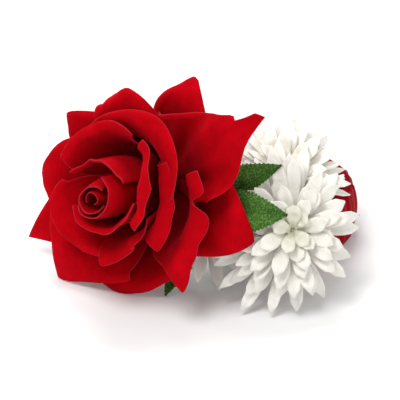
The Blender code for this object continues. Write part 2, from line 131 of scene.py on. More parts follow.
class Paint:
    """A material or world under construction: one method adds any node, a few the usual ones."""

    def __init__(self, name, kind="materials"):
        self.owner = getattr(bpy.data, kind).new(name)
        self.owner.use_nodes = True
        self.tree = self.owner.node_tree
        self.tree.nodes.clear()

    def node(self, kind, settings=None, inputs=None, output=0):
        """A node of that type, its settings made first, then its sockets set or linked."""
        made = self.tree.nodes.new(kind)
        for name, value in (settings or {}).items():
            if name == "stops":
                points = made.mapping.curves[0].points
                for point, stop in zip(points, value):
                    point.location = stop
                for stop in value[len(points):]:
                    points.new(*stop)
                made.mapping.update()
            else:
                setattr(made, name, value)
        for key, value in (inputs or {}).items():
            socket = made.inputs[key]
            if isinstance(value, Value):
                self.tree.links.new(value.output, socket)
            elif socket.type == "RGBA":
                socket.default_value = (*value, 1.0)
            else:
                socket.default_value = value
        return Value(self, made.outputs[output]) if made.outputs else None

    def place(self):
        return self.node("ShaderNodeTexCoord", output="Object")

    def attribute(self, name):
        return self.node("ShaderNodeAttribute", {"attribute_name": name}, output="Fac")

    def rays(self, kind):
        """1 for rays of that kind, 0 for others."""
        return self.node("ShaderNodeLightPath", output=f"Is {kind} Ray")

    def noise(self, scale, detail=3.0, where=None, stretch=None):
        """Fine-grained noise from 0 to 1. The scale is in features per metre."""
        where = where or self.place()
        if stretch:
            where = self.node("ShaderNodeMapping", None, {"Vector": where, "Scale": stretch})
        inputs = {"Vector": where, "Scale": scale, "Detail": detail}
        return self.node("ShaderNodeTexNoise", None, inputs)

    def blend(self, share, low, high, way="MIX"):
        """A colour between two colours."""
        settings = {"data_type": "RGBA", "clamp_factor": True, "blend_type": way}
        return self.node("ShaderNodeMix", settings, {0: share, 6: low, 7: high}, output=2)

    def tones(self, share, colour, darker):
        """A colour between that shade of it and itself."""
        return self.blend(share, shade(colour, darker), colour)

    def finish(self, base, roughness, bump, **sockets):
        """Principled surface. Bump is (height, depth, strength). Other sockets are named."""
        height, depth, strength = bump
        inputs = {"Strength": strength, "Distance": depth, "Height": height}
        normal = self.node("ShaderNodeBump", None, inputs)
        inputs = {name.replace("_", " "): value for name, value in sockets.items()}
        inputs |= {"Base Color": base, "Roughness": roughness, "Normal": normal}
        surface = self.node("ShaderNodeBsdfPrincipled", None, inputs)
        self.node("ShaderNodeOutputMaterial", None, {"Surface": surface})
        return self.owner


def shade(colour, share):
    """The same colour, darker or lighter by that share."""
    return tuple(part * share for part in colour)


# ---------------------------------------------------------------- what a user would change


def length(name, description, millimetres):
    """A length property whose default is given in millimetres."""
    return bpy.props.FloatProperty(
        name=name, description=description, default=millimetres * MM, unit="LENGTH"
    )


def colour(name, description, default):
    return bpy.props.FloatVectorProperty(
        name=name, description=description, default=default, size=3, subtype="COLOR", min=0, max=1
    )


class RoseSettings(bpy.types.PropertyGroup):
    velvet: colour("Velvet", "Colour of the pile where it stands up", (0.53, 0.0004, 0.0062))
    brushed: colour("Brushed pile", "Colour where the pile lies flat", (0.36, 0.0003, 0.0035))
    cut_edge: colour("Cut edge", "Paler colour of the cut edge of the cloth", (0.46, 0.008, 0.022))
    cloth: length("Cloth thickness", "Thickness of one velvet petal", 0.55)
    wave: length("Waviness", "How far a petal's rim waves out of its smooth curve", 0.7)


class MumSettings(bpy.types.PropertyGroup):
    cloth: colour("Cloth", "Colour of the petals", (0.852, 0.832, 0.785))
    base: colour("Petal base", "Colour of the petals where they meet", (0.72, 0.66, 0.33))
    heart: colour("Heart", "Colour of the middle of a mum", (0.50, 0.52, 0.13))
    width: length("Petal width", "Widest part of one petal", 6.2)
    plump: length("Plumpness", "Thickness of one petal where it is fullest", 2.3)
    channel: length("Channel", "Depth of the channel pressed along each petal", 0.6)


class LeafSettings(bpy.types.PropertyGroup):
    cloth: colour("Cloth", "Colour of the woven leaf", (0.046, 0.165, 0.012))
    specks: colour("Specks", "Colour of the threads that stand out", (0.26, 0.42, 0.13))
    thickness: length("Thickness", "Thickness of one leaf", 0.4)
    tooth_depth: length("Tooth depth", "How far each tooth stands out", 1.3)


class BandSettings(bpy.types.PropertyGroup):
    satin: colour("Satin", "Colour of the satin tube", (0.27, 0.001, 0.010))
    elastic: colour("Elastic", "Colour of the elastic inside the tube", (0.72, 0.70, 0.66))
    gathers: bpy.props.IntProperty(
        name="Gathers", description="Folds of satin round the band", default=34, min=8, max=90
    )
    gather_depth: length("Gather depth", "How far a fold stands out", 1.3)


class BindingSettings(bpy.types.PropertyGroup):
    tape: colour("Tape", "Colour of the floral tape", (0.045, 0.115, 0.028))
    felt: colour("Felt", "Colour of the felt pad", (0.05, 0.13, 0.03))
    tape_width: length("Tape width", "Distance from one turn of the tape to the next", 3.2)


class StageSettings(bpy.types.PropertyGroup):
    floor: colour("Floor", "Colour of the floor and backdrop", (0.92, 0.92, 0.92))
    view_width: length("View width", "Width that the camera takes in at the flowers", 168)
    distance: length("Distance", "From the camera to the flowers", 1500)


# ---------------------------------------------------------------- mesh helpers


def linked(name, data):
    """A new object in the scene, at the origin."""
    made = bpy.data.objects.new(name, data)
    bpy.context.scene.collection.objects.link(made)
    return made


def applied(piece):
    """Makes a piece and its modifiers one plain mesh, which it gives."""
    evaluated = piece.evaluated_get(bpy.context.evaluated_depsgraph_get())
    plain = bpy.data.meshes.new_from_object(evaluated)
    piece.modifiers.clear()
    piece.data = plain
    return plain


def add_piece(name, points, faces, materials, node, marks, face_materials=None):
    """A finished piece from points in metres: it rides on the corsage and stands for a CAD node.

    Marks are named values for each point that its material reads.
    """
    mesh = bpy.data.meshes.new(name)
    mesh.from_pydata([tuple(p) for p in points], [], [tuple(f) for f in faces])
    for material in materials:
        mesh.materials.append(material)
    if face_materials is not None:
        mesh.polygons.foreach_set("material_index", face_materials)
    for mark, values in marks.items():
        mesh.attributes.new(mark, "FLOAT", "POINT").data.foreach_set("value", list(values))
    mesh.polygons.foreach_set("use_smooth", [True] * len(mesh.polygons))
    mesh.update()
    return joined_to_part(linked(name, mesh), [node])


def joined_to_part(piece, replaced):
    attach(piece, "root")
    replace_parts(piece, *replaced)
    return piece


def unit(vectors):
    return vectors / np.maximum(np.linalg.norm(vectors, axis=-1, keepdims=True), 1e-12)


def skin(grid, thickness):
    """Closed cloth skin round a curved sheet of points, with a rounded cut edge.

    Gives the points, the faces, which faces are the edge, and the grid's row and column of each
    point. The first side lies towards cross(across, along).
    """
    grid = np.asarray(grid, float)
    rows, columns = grid.shape[:2]
    along, across = np.gradient(grid, axis=0), np.gradient(grid, axis=1)
    half = unit(np.cross(across, along)) * thickness / 2
    rim = [(0, j) for j in range(columns)]
    rim += [(i, columns - 1) for i in range(1, rows)]
    rim += [(rows - 1, j) for j in range(columns - 2, -1, -1)]
    rim += [(i, 0) for i in range(rows - 2, 0, -1)]
    beyond = []
    for i, j in rim:
        outwards = np.zeros(3)
        if i in (0, rows - 1):
            outwards += unit(along[i, j]) * (1 if i else -1)
        if j in (0, columns - 1):
            outwards += unit(across[i, j]) * (1 if j else -1)
        beyond.append(grid[i, j] + unit(outwards) * thickness / 2)
    points = np.concatenate([(grid + half).reshape(-1, 3), (grid - half).reshape(-1, 3), beyond])
    below, edge = rows * columns, 2 * rows * columns
    faces = []
    for i in range(rows - 1):
        for j in range(columns - 1):
            a = i * columns + j
            b, c, d = a + 1, a + columns + 1, a + columns
            faces.append((a, b, c, d))
            faces.append((below + d, below + c, below + b, below + a))
    flat_faces = len(faces)
    count = len(rim)
    for k in range(count):
        (i, j), (m, n) = rim[k], rim[(k + 1) % count]
        a, b = i * columns + j, m * columns + n
        ea, eb = edge + k, edge + (k + 1) % count
        faces.append((a, ea, eb, b))
        faces.append((ea, below + a, below + b, eb))
    is_edge = [0] * flat_faces + [1] * (len(faces) - flat_faces)
    places = [(i, j) for i in range(rows) for j in range(columns)] * 2 + rim
    return points, faces, is_edge, np.array(places)


def flower_frame(centre, axis):
    """Frame of a flower in the layout's millimetres: z looks out along its axis, y upwards."""
    z = Vector(axis).normalized()
    y = (Vector((0, 0, 1)) - z * z.z).normalized()
    x = y.cross(z)
    turned = Matrix((x, y, z)).transposed().to_4x4()
    turned.translation = Vector(centre)
    return turned


def moved(points, matrix):
    """Points of shape (..., 3) in a flower's own millimetres, moved to the frame's metres."""
    points = np.asarray(points, float)
    turn = np.array(matrix.to_3x3())
    return (points @ turn.T + np.array(matrix.translation)) * MM + np.array(BAND_MIDDLE)


def bezier(knots, t):
    """Points at t on a cubic curve through four knots, with their coordinates last."""
    a, b, c, d = (np.array(k, float) for k in knots)
    t = np.asarray(t, float)[..., None]
    s = 1 - t
    return s**3 * a + 3 * s * s * t * b + 3 * s * t * t * c + t**3 * d


# ---------------------------------------------------------------- rose

ROSE_BASE = (-50.3, -25.0, 37.6)
ROSE_AXIS = (-0.530, -0.762, 0.372)
FULLEST = 0.62  # share of a petal's length where it is widest
PINWHEEL_START = 0.2  # share of a petal's length where it starts to lie over its neighbour
BASE_HALF = 2.2  # half the width of a petal at its base
LEAST_RADIUS = 4.2  # a petal closer to the axis is turned round it no faster than here
CURVED_SPAN = 1.15  # length of a petal, against the straight line between its ends
SIDE_START = 0.6  # where across a petal its rim is rolled as far as at its sides
LEAN_OUT = 0.8  # how much a rolled rim still runs on outwards
PETAL_WAVES = ((0.9, 2.3, 3.0), (0.6, 5.5, -2.0), (0.35, 9.0, 4.0), (0.25, 14.0, 2.0))
PETAL_ROWS = 44
PETAL_COLUMNS = 57


@dataclass
class Petal:
    """One rose petal: its direction round the axis, its outline and its rolled rim.

    A nudge is a soft push: where it is (across, along), how wide it is (across, along), and its
    way in millimetres (across, along, back). Back is away from the heart of the rose.
    """

    azimuth: float
    reach: float = 1.0
    tip_drop: float = 0.16
    tip_power: float = 2.0
    width: float = 1.0
    roll: tuple = (2.0, 2.0)  # millimetres of cloth rolled back behind the tip, and the sides
    roll_radius: float = 3.0
    wave: float = 1.0
    tip_at: float = 0.0  # where across the petal its tip is
    skew: float = 0.0  # how much further out its anticlockwise side reaches than its middle
    profile: tuple = ()  # its own, where it differs from its whorl's
    pleat: float = 0.0  # depth of the soft folds along it
    notches: tuple = ()  # (across, half width, depth) cut into its rolled edge
    nudges: tuple = ()


@dataclass
class Whorl:
    """Petals at one depth. Profile knots are (radius, depth) in millimetres."""

    name: str
    profile: tuple
    half_width: float
    pinwheel: float
    petals: tuple

    def surface(self, petal, across, along):
        """Smooth middle of a petal at across (-1 to 1) and along (0 to 1), in the rose's frame."""
        profile = petal.profile or self.profile
        centre, depth = np.moveaxis(bezier(profile, along), -1, 0)
        spread = np.sin(np.pi / 2 * np.clip(along / FULLEST, 0, 1)) ** 0.9
        half = BASE_HALF + (self.half_width * petal.width - BASE_HALF) * spread
        angle = np.radians(petal.azimuth) + across * half / np.maximum(centre, LEAST_RADIUS)
        run = unit(bezier(profile, along + 0.01) - bezier(profile, along - 0.01))
        lift = self.pinwheel * across * np.minimum(along / PINWHEEL_START, 1.0)
        radius = centre + lift * run[..., 1]
        depth = depth - lift * run[..., 0]
        radius = radius * (1 + (petal.reach - 1) * along**2 * (1 - 0.6 * np.abs(across)))
        radius = radius * (1 + petal.skew * across * along**2)
        return np.stack([radius * np.cos(angle), radius * np.sin(angle), depth], axis=-1)


WHORLS = (
    Whorl("bud_a", ((4.3, 21), (5.4, 30), (4.9, 46), (2.6, 55)), 11.0, 0.6,
          (Petal(70, 1, 0.05, roll=(0, 0), wave=0.3),)),
    Whorl("bud_b", ((4.6, 17), (8.6, 26), (8.0, 44), (5.3, 57)), 15.0, 0.6,
          (Petal(200, 1, 0.06, roll=(0.6, 0.6), wave=0.5),)),
    Whorl("bud_c", ((4.8, 14), (11.6, 23), (11, 44), (8.2, 56)), 17.0, 0.6,
          (Petal(330, 1, 0.07, roll=(0.8, 0.8), wave=0.5),)),
    Whorl("inner", ((4.9, 10.8), (17, 19), (13, 46), (15, 52)), 15.5, 1.5, (
        Petal(99, 0.86, 0.05, roll=(2.5, 2.5), nudges=(
            ((0.5, 1.0), (0.35, 0.25), (0, -4.0, 0)),)),
        Petal(22, 1.0, 0.02, 2.0, 0.74, roll=(10.5, 8), roll_radius=6,
              profile=((4.9, 10.8), (16, 19), (14, 44), (18, 50)), nudges=(
                  ((1, 1.0), (0.8, 0.7), (0.8, 0, 6.6)),
                  ((0, 1.0), (0.5, 0.5), (0, 0, -1.5)),
                  ((-1, 1.0), (0.7, 0.7), (-1.9, 0, 3.6)))),
        Petal(290, 0.95, 0.12, 2.0, 1.15, roll=(2.5, 3)),
    )),
    Whorl("middle", ((5, 7.8), (23, 13), (20, 44), (31, 41)), 18.0, 1.8, (
        Petal(68, 1.20, 0.12, 2.0, 1.55, skew=-0.13),
        Petal(124, 0.86, 0.12, 2.0, 1.2),
        Petal(244, 0.96, 0.24, 3.0, 1.3, roll=(2.5, 2.5), skew=-0.13),
        Petal(312, 0.70, 0.02, roll=(7, 4), roll_radius=5.5, wave=0.35, skew=-0.17),
        Petal(3, 0.84, 0.06, 2.0, 0.95, roll=(8, 8), roll_radius=6, skew=-0.12),
    )),
    Whorl("outer", ((5.4, 4.9), (30, 9.4), (33, 38), (46, 21)), 23.0, 1.7, (
        Petal(51, 1.60, 0.50, 0.75, 1.05, roll=(1.5, 2.5), pleat=2.0, tip_at=-0.35, skew=-0.20,
              notches=((-0.26, 0.04, 3.0),), nudges=(
                  ((-0.40, 1.05), (0.22, 0.16), (0, 2, -5)),
                  ((-0.75, 0.9), (0.22, 0.3), (-5.5, 0, 0)),
                  ((-0.62, 0.75), (0.10, 0.5), (0, 0, 2.5)))),
        Petal(121, 0.87, 0.60, 1.3, 0.80, roll=(4.5, 5), skew=-0.20, nudges=(
            ((0.8, 0.9), (0.4, 0.4), (-3.5, -1.5, 0)),)),
        Petal(190, 1.08, 0.36, 1.4, 0.68, roll=(3, 4), skew=0.05),
        Petal(241, 1.26, 0.34, 1.2, roll=(1, 4)),
        Petal(341.4, 1.0, 0.02, roll=(12, 14), roll_radius=8, skew=-0.18,
              profile=((5.4, 4.9), (30, 9.4), (29.2, 26), (35.1, 31.2)),
              notches=((0.58, 0.09, 8.0),), nudges=(
                  ((-1, 1.0), (0.5, 0.4), (13, 5, 0)),
                  ((1, 1.0), (0.35, 0.3), (3.0, 2, 0)))),
    )),
    Whorl("back", ((5.8, 2.0), (30, 4), (38, 29), (48, 15)), 21.0, 1.7, (
        Petal(77, 1.10, 0.86, 1.05, 1.1, roll=(4, 4), skew=-0.32, nudges=(
            ((0.6, 0.85), (0.35, 0.3), (-1, -5, 0)),
            ((-0.6, 0.75), (0.35, 0.35), (-7, 0, 0)))),
        Petal(158, 1.0, 0.85, 0.9, 0.8, roll=(0.3, 5), skew=-0.35),
        Petal(217, 1.31, 0.55, 0.85, roll=(0.3, 5)),
        Petal(271, 1.0, 0.34, 1.4, roll=(2, 4)),
        Petal(352, 1.22, 0.50, 1.45, roll=(3.5, 5), nudges=(
            ((-0.8, 0.85), (0.4, 0.25), (4, -3, 0)),)),
    )),
)
ROSE_LEAN = (1.5, -4.0)  # how far the tip of the bud leans from the axis
LEAN_DEPTH, LEAN_RADIUS = 55.0, 36.0  # where the lean is full, and where it has died away


def petal_cloth(whorl, petal, seed):
    """The petal's cloth as a grid of points: its smooth surface, rolled back, waved and nudged."""
    across, share = np.meshgrid(
        np.linspace(-1, 1, PETAL_COLUMNS), np.linspace(0, 1, PETAL_ROWS) ** 0.8
    )
    profile = petal.profile or whorl.profile
    span = np.linalg.norm(np.subtract(profile[3], profile[0])) * CURVED_SPAN
    toward_side = np.sin(np.pi / 2 * np.minimum(np.abs(across) / SIDE_START, 1.0))
    tip_roll, side_roll = petal.roll
    rolled = tip_roll + (side_roll - tip_roll) * toward_side
    stands_out = petal.roll_radius * np.sin(np.minimum(rolled / petal.roll_radius, np.pi / 2))
    drop = petal.tip_drop * np.abs(across - petal.tip_at) ** petal.tip_power
    fold = 1 - drop - stands_out / span
    for place, half, depth in petal.notches:
        rolled = rolled - depth * np.exp(-(((across - place) / half) ** 2))
    along = share * (fold + rolled / span)
    beyond = np.maximum(along - fold, 0) * span
    along = np.minimum(along, fold)

    def slope(aside, onward):
        after = whorl.surface(petal, across + aside, along + onward)
        return unit(after - whorl.surface(petal, across - aside, along - onward))

    sideways, outwards = slope(0.004, 0), slope(0, 0.004)
    back = unit(np.cross(sideways, outwards))
    rim_run = unit(np.gradient(whorl.surface(petal, across, fold), axis=1))
    away = unit(np.cross(back, rim_run))
    facing = np.sign(np.sum(away * outwards, axis=-1, keepdims=True))
    away = unit(away * facing + LEAN_OUT * outwards)
    turn = (beyond / petal.roll_radius)[..., None]
    rolled_away = petal.roll_radius * (away * np.sin(turn) + back * (1 - np.cos(turn)))
    points = whorl.surface(petal, across, along) + rolled_away
    phases = np.random.default_rng(seed).uniform(0, 2 * np.pi, len(PETAL_WAVES))
    waves = sum(
        height * np.sin(a * across + b * share + phase)
        for (height, a, b), phase in zip(PETAL_WAVES, phases)
    )
    size = bpy.context.scene.corsage_rose.wave / MM * petal.wave * share**2
    pleats = petal.pleat * share * (np.sin(8.0 * across + 0.6) + 0.4 * np.sin(15.0 * across))
    points = points + back * (waves * size + pleats)[..., None]
    for (u, v), (wide, tall), (x, y, z) in petal.nudges:
        weight = np.exp(-(((across - u) / wide) ** 2) - ((share - v) / tall) ** 2)[..., None]
        points = points + weight * (sideways * x + outwards * y + back * z)
    radius = np.linalg.norm(points[..., :2], axis=-1)
    lean = (points[..., 2] / LEAN_DEPTH) ** 2 * np.clip(1 - radius / LEAN_RADIUS, 0, 1)
    points[..., :2] += np.array(ROSE_LEAN) * lean[..., None]
    return points


def velvet():
    """Matt pile: darker where it lies flat, paler in a few brushed lines, painted shade at the
    base.
    """
    settings = bpy.context.scene.corsage_rose
    paint = Paint("rose velvet")
    patches = paint.noise(110, 3.0).ramp(0.35, 0.7)
    pile = paint.noise(1500, 2.0)
    share = patches * 0.55 + pile * 0.6 - 0.1
    base = paint.blend(share, settings.brushed, settings.velvet)
    # Painted shade: the pile is darkened towards the base of each petal, deep in the hollow of the
    # rose.
    along = paint.attribute("along").ramp(0.2, 0.8)
    painted_base_shade = paint.blend(along, (0.62, 0.62, 0.62), (1.0, 1.0, 1.0))
    height = pile * 0.5 + paint.noise(4200, 2.0) * 0.5
    return paint.finish(
        paint.blend(0.85, base, painted_base_shade, "MULTIPLY"), 0.92, (height, 0.00025, 0.5),
        Specular_IOR_Level=0.03, Sheen_Weight=0.22, Sheen_Roughness=0.45,
        Sheen_Tint=(1.0, 0.03, 0.07),
    )


def cut_velvet():
    """Cut edge of the velvet, where the paler ground of the cloth shows."""
    settings = bpy.context.scene.corsage_rose
    paint = Paint("velvet cut edge")
    threads = paint.noise(2600, 2.0)
    base = paint.tones(threads, settings.cut_edge, 0.6)
    return paint.finish(base, 0.8, (threads, 0.0002, 0.5), Specular_IOR_Level=0.2)


def build_rose():
    settings = bpy.context.scene.corsage_rose
    rose = flower_frame(ROSE_BASE, ROSE_AXIS)
    materials = (velvet(), cut_velvet())
    seed = 0
    for whorl in WHORLS:
        for number, petal in enumerate(whorl.petals, 1):
            seed += 1
            grid = moved(petal_cloth(whorl, petal, seed), rose)
            grid[..., 2] = np.maximum(grid[..., 2], settings.cloth)  # pressed flat by the table
            points, faces, is_edge, places = skin(grid, settings.cloth)
            marks = {"along": places[:, 0] / (PETAL_ROWS - 1)}
            node = f"rose_{whorl.name}" + (f"_{number}" if len(whorl.petals) > 1 else "")
            name = node + "_petal"
            add_piece(name, points, faces, materials, node, marks, is_edge)


# ---------------------------------------------------------------- leaves

LEAF_ROWS = 121
LEAF_COLUMNS = 21
LEAF_SHAPE = (0.72, 0.85, 0.07)  # lower is wider near the base, blunter, and narrower at its ends
LEAF_FOLD = 0.22  # rise from the midrib to the edge, against half the leaf's width
LEAF_DROOP = 0.18  # how much of it the edge loses again
LEAF_WAVE = 0.5  # millimetres that the edges wave
TOOTH_RISE = 0.75  # share of a tooth that slopes outwards
TEETH_SHIFT = 0.37  # of a tooth, from one half of the leaf to the other
TEETH_FORWARD = 0.45  # how far the teeth lean to the tip, against their depth
TEETH_START = 0.72  # where across a half the teeth begin
VEIN_PAIRS, VEIN_SLANT, VEIN_HEIGHT = 7, 1.6, 0.22
WARP_PITCH, WEFT_PITCH = 0.8, 0.75  # millimetres from one thread to the next


@dataclass
class Leaf:
    """A leaf from base to tip, in millimetres of the layout, with its upper side facing a way."""

    base: tuple
    tip: tuple
    facing: tuple
    half_width: float
    bulge: float
    teeth: int
    halves: tuple = (1.0, 1.0)  # how much of its half width each half shows


LEAVES = {
    "upper": Leaf((-29.5, -47, 42), (-1.5, -50, 60), (0.15, -0.86, 0.45), 8.5, 2.5, 21,
                  (0.45, 1.1)),
    "lower": Leaf((-30.5, -49.5, 38), (0.6, -68, 46.8), (-0.35, -0.76, 0.55), 9.5, 3.0, 23),
    "under": Leaf((-39, -39, 12), (-49.5, -57, 1.5), (-0.30, -0.50, 0.80), 5.0, 1.0, 17),
}


def leaf_cloth_grid(leaf):
    """The leaf's sheet of cloth: a toothed outline, folded along its midrib, gently arched."""
    settings = bpy.context.scene.corsage_leaf
    base, tip = np.array(leaf.base, float), np.array(leaf.tip, float)
    run = unit(tip - base)
    facing = np.array(leaf.facing, float)
    up = unit(facing - run * facing.dot(run))
    side = np.cross(run, up)
    across = np.linspace(-1, 1, LEAF_COLUMNS)
    across, along = np.meshgrid(
        np.sign(across) * np.abs(across) ** 0.75, np.linspace(0, 1, LEAF_ROWS)
    )
    aside = np.abs(across)
    early, blunt, least = LEAF_SHAPE
    width = leaf.half_width * np.maximum(np.sin(np.pi * along**early) ** blunt, least)
    width = width * np.where(across > 0, leaf.halves[0], leaf.halves[1])
    fullness = width / leaf.half_width
    ramp = (along * leaf.teeth + np.where(across > 0, 0.0, TEETH_SHIFT)) % 1.0
    fall = (1 - ramp) / (1 - TOOTH_RISE)
    teeth = np.where(ramp < TOOTH_RISE, ramp / TOOTH_RISE, fall) - 0.5
    depth = settings.tooth_depth / MM * np.minimum(fullness, 0.7)
    near_edge = np.clip((aside - TEETH_START) / (1 - TEETH_START), 0, 1)
    reach = across * (width - 0.25 * depth) + np.sign(across) * near_edge * teeth * depth
    veins = np.sin(2 * np.pi * (along * VEIN_PAIRS - aside * VEIN_SLANT))
    lift = leaf.bulge * np.sin(np.pi * along) + LEAF_FOLD * width * aside
    lift = lift - LEAF_DROOP * width * across**4
    lift = lift + VEIN_HEIGHT * veins * np.minimum(fullness, 1) * np.minimum(aside * 3, 1)
    lift = lift + LEAF_WAVE * np.sin(5.0 * along + 2.2 * across) * aside
    ends = base + (tip - base) * along[..., None]
    forward = near_edge * depth * TEETH_FORWARD
    ends = ends + run * forward[..., None] * (along < 0.97)[..., None]
    return ends + side * reach[..., None] + up * lift[..., None], along, across


def woven_leaf():
    """Woven leaf cloth: two sets of threads, some of them paler, with a pressed midrib."""
    settings = bpy.context.scene.corsage_leaf
    paint = Paint("woven leaf cloth")
    along, across, run, side = map(paint.attribute, ("along", "across", "run", "side"))
    warp = (run * (2 * math.pi / WARP_PITCH)).math("SINE")
    weft = (side * (2 * math.pi / WEFT_PITCH)).math("SINE")
    threads = (warp * weft).ramp(-0.7, 0.9)
    odd = paint.noise(1500, 1.0).ramp(0.46, 0.62)
    wide = paint.noise(260, 2.0)
    dark = shade(settings.cloth, 0.42)
    cloth = paint.blend(wide.ramp(0.3, 0.75), settings.cloth, shade(settings.cloth, 1.6))
    cloth = paint.blend(threads, dark, cloth)
    cloth = paint.blend(threads * odd * 0.9, cloth, settings.specks)
    rib = 1 - across.math("ABSOLUTE").ramp(0.01, 0.07)
    cloth = paint.blend(rib * 0.5, cloth, dark)
    cloth = paint.blend(along.ramp(0.965, 1.0) * 0.75, cloth, (0.10, 0.045, 0.015))
    height = threads * 0.7 + odd * 0.3 - rib * 0.8
    return paint.finish(cloth, 0.7, (height, 0.00022, 0.8), Specular_IOR_Level=0.15)


def build_leaves():
    settings = bpy.context.scene.corsage_leaf
    finish = woven_leaf()
    for name, leaf in LEAVES.items():
        grid, along, across = leaf_cloth_grid(leaf)
        points, faces, _, places = skin(moved(grid, Matrix()), settings.thickness)
        rows, columns = places[:, 0], places[:, 1]
        span = np.linalg.norm(np.subtract(leaf.tip, leaf.base))
        marks = {
            "along": along[rows, columns],
            "across": across[rows, columns],
            "run": along[rows, columns] * span,
            "side": across[rows, columns] * leaf.half_width,
        }
        node = "leaf_" + name
        add_piece(node + "_cloth", points, faces, (finish,), node, marks)


# ---------------------------------------------------------------- wrist band

BAND_HEIGHT = 24.0
BAND_RADIUS = 32.5  # outside of the padded satin, at mid height
BAND_CROWN = 2.2
COVER_EDGE = 1.6
ELASTIC_THICK = 1.0
LINING_THICK = 0.7
ELASTIC_INSET = 1.5
LIP_THICK = 1.0
GAP = 0.35
FLAT_DIRECTION = 233.0  # degrees, where the band runs straight behind the flowers
FLAT_HALF_ANGLE = 22.0
RING_STEPS = 480
CROWN_STEPS = 24
COVER_STEP, CLOTH_STEP = 1.2, 1.5  # longest side of the sections of the tube and what is in it
ELASTIC_CORNER, LINING_CORNER = 0.3, 0.25
FINE_FOLDS, BROAD_FOLDS, FOLDS_INWARDS = 0.45, 0.3, 0.35  # shares of the depth of a gather


def ring_reach(angle, radius):
    """Distance of the band from its middle: that radius, or less where it runs straight."""
    limit = np.cos(np.radians(FLAT_HALF_ANGLE))
    facing = np.cos(angle - np.radians(FLAT_DIRECTION))
    return np.where(facing > limit, radius * limit / np.maximum(facing, limit), radius)


def band_piece(node, section, material, fold=None):
    """A closed ring round the wrist from a closed section of (radius, height), waved by fold."""
    count = len(section)
    angles = np.linspace(0, 2 * np.pi, RING_STEPS, endpoint=False)
    angle = np.repeat(angles[:, None], count, axis=1)
    radius, height = (np.tile(values, (RING_STEPS, 1)) for values in np.array(section, float).T)
    if fold:
        radius, height = fold(angle, radius, height)
    reach = ring_reach(angle, radius)
    points = np.stack([reach * np.cos(angle), reach * np.sin(angle), height], axis=-1)
    faces = []
    for i in range(RING_STEPS):
        after = (i + 1) % RING_STEPS
        for k in range(count):
            up = (k + 1) % count
            faces.append((i * count + k, after * count + k, after * count + up, i * count + up))
    marks = {"turn": (angle * BAND_RADIUS).reshape(-1), "height": height.reshape(-1)}
    points = moved(points, Matrix()).reshape(-1, 3)
    return add_piece(node + "_cloth", points, faces, (material,), node, marks)


def satin_folds(angle, radius, height):
    """Gathers the satin tube: folds that run up the band, deepest where it bulges."""
    settings = bpy.context.scene.corsage_band
    folds = settings.gathers
    share = height / BAND_HEIGHT
    lean = 0.35 * np.sin(3 * angle + 0.5) * (share - 0.5)
    around = angle + lean * 0.12
    wave = np.sin(folds * around + 1.9 * np.sin(5 * angle + 1.0) + 1.2 * np.sin(9 * angle + 2.2))
    wide = np.sin(round(folds * 0.6) * around + 1.6 * np.sin(4 * angle + 2.5) + 0.8 * share)
    strength = 0.5 + 0.35 * np.sin(4 * angle + 0.7) + 0.15 * np.sin(11 * angle)
    outside = np.clip((radius - (BAND_RADIUS - BAND_CROWN - COVER_EDGE * 0.5)) / COVER_EDGE, 0, 1)
    bulge = np.clip(np.sin(np.pi * share), 0, 1) ** 0.5 * 0.6 + 0.4
    depth = settings.gather_depth / MM * outside * bulge
    height = height + 0.35 * outside * (1 - bulge) * wave
    out = radius + depth * (FINE_FOLDS * wave * strength + BROAD_FOLDS * wide - FOLDS_INWARDS)
    return out, np.clip(height, 0.0, BAND_HEIGHT)


def satin():
    """Satin: fine threads round the band, glossy across them, a little darker in streaks up the
    band.
    """
    settings = bpy.context.scene.corsage_band
    paint = Paint("gathered satin")
    streaks = paint.noise(60, 4.0, stretch=(1.0, 1.0, 0.12))
    thread = (paint.attribute("height") * 14.0).math("SINE")
    base = paint.tones(streaks.ramp(0.3, 0.7), settings.satin, 0.9)
    height = thread * 0.3 + streaks * 0.5
    return paint.finish(
        base, streaks * 0.16 + 0.30, (height, 0.00014, 0.4), Metallic=0.45,
        Specular_IOR_Level=0.04, Specular_Tint=(1.0, 0.03, 0.06),
    )


def elastic_cloth():
    """Woven elastic: ribs round the band, crossed by covered threads."""
    settings = bpy.context.scene.corsage_band
    paint = Paint("woven elastic")
    ribs = (paint.attribute("height") * 5.2).math("SINE")
    cords = (paint.attribute("turn") * 6.0).math("SINE")
    weave = (ribs * cords).ramp(-0.6, 0.8)
    base = paint.tones(weave, settings.elastic, 0.7)
    return paint.finish(base, 0.8, (weave, 0.0003, 0.7), Specular_IOR_Level=0.2)


def rounded(inner, outer, low, high, corner, steps=4):
    """Closed section of (radius, height) with rounded corners, anticlockwise."""
    section = []
    corners = ((outer, low, -90), (outer, high, 0), (inner, high, 90), (inner, low, 180))
    for radius, height, start in corners:
        r = radius + (-corner if radius == outer else corner)
        h = height + (corner if height == low else -corner)
        for i in range(steps + 1):
            turn = math.radians(start + 90 * i / steps)
            section.append((r + corner * math.cos(turn), h + corner * math.sin(turn)))
    return section


def spaced(section, longest):
    """The closed section with extra points, so that no side is longer than that."""
    points = []
    for (a, b), (c, d) in zip(section, section[1:] + section[:1]):
        parts = max(1, math.ceil(math.hypot(c - a, d - b) / longest))
        points += [(a + (c - a) * i / parts, b + (d - b) * i / parts) for i in range(parts)]
    return points


def ruffle(angle, radius, height):
    """Small waves of the lining, which the elastic gathers too."""
    return radius + np.sin(70 * angle + 1.5 * np.sin(9 * angle)) * 0.1, height


